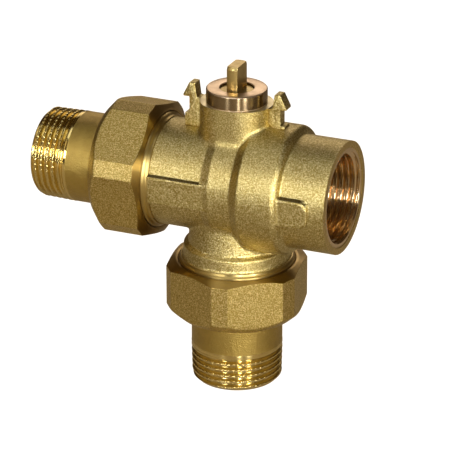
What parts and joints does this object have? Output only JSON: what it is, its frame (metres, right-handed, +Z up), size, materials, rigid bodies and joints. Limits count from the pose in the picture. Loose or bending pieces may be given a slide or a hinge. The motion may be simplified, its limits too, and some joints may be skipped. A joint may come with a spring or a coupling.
{
  "type": "three-way valve body for a clip-on motor",
  "caption": "Brass three-way ball valve with snap hooks and a flat stem tang for a motor, a threaded socket and pipe unions.",
  "frame": {"origin": "centre of the lower tailpiece's end face", "axes": "+Z up along the stem, +X along the run towards the threaded socket, +Y to the back"},
  "size_m": [0.1151, 0.0514, 0.1197],
  "materials": {
    "forged_brass": "sand-blasted forging, turned on its faces",
    "nut_brass": "sand-blasted flats with turned bevels",
    "turned_brass": "turned, bright threads",
    "stem_brass": "turned and milled",
    "plated_ball": "polished plating",
    "seat_plastic": "white low-friction plastic",
    "seal_rubber": "black sealing rubber",
    "gasket_rubber": "flat gasket"
  },
  "bodies": {
    "valve": {"valve_body": "forged_brass", "seat_right": "seat_plastic", "seat_left": "seat_plastic", "seat_oring_right": "seal_rubber", "seat_oring_left": "seal_rubber", "seat_retainer": "turned_brass", "retainer_oring": "seal_rubber"},
    "spindle": {"stem": "stem_brass", "stem_thrust_washer": "seat_plastic", "stem_oring_lower": "seal_rubber", "stem_oring_upper": "seal_rubber", "ball": "plated_ball"},
    "lower_tail": {"tailpiece_lower": "turned_brass", "union_gasket_lower": "gasket_rubber"},
    "lower_nut": {"union_nut_lower": "nut_brass"},
    "left_tail": {"tailpiece_left": "turned_brass", "union_gasket_left": "gasket_rubber"},
    "left_nut": {"union_nut_left": "nut_brass"}
  },
  "joints": [
    {"name": "stem_turn", "type": "hinge", "parent": "valve", "child": "spindle", "pos_m": [0, 0, 0.0756], "axis": [0, 0, 1], "range_deg": [0, 90]},
    {"name": "lower_union_draw", "type": "slide", "parent": "valve", "child": "lower_tail", "axis": [0, 0, -1], "range_m": [0, 0.0104]},
    {"name": "lower_nut_turn", "type": "hinge", "parent": "lower_tail", "child": "lower_nut", "pos_m": [0, 0, 0.026], "axis": [0, 0, -1], "range_deg": [0, 1620]},
    {"name": "left_union_draw", "type": "slide", "parent": "valve", "child": "left_tail", "axis": [-1, 0, 0], "range_m": [0, 0.0104]},
    {"name": "left_nut_turn", "type": "hinge", "parent": "left_tail", "child": "left_nut", "pos_m": [-0.0483, 0, 0.0756], "axis": [-1, 0, 0], "range_deg": [0, 1620]}
  ],
  "couplings": [
    {"joint": "lower_union_draw", "follows": "lower_nut_turn", "m_per_rad": 0.00036749},
    {"joint": "left_union_draw", "follows": "left_nut_turn", "m_per_rad": 0.00036749}
  ]
}
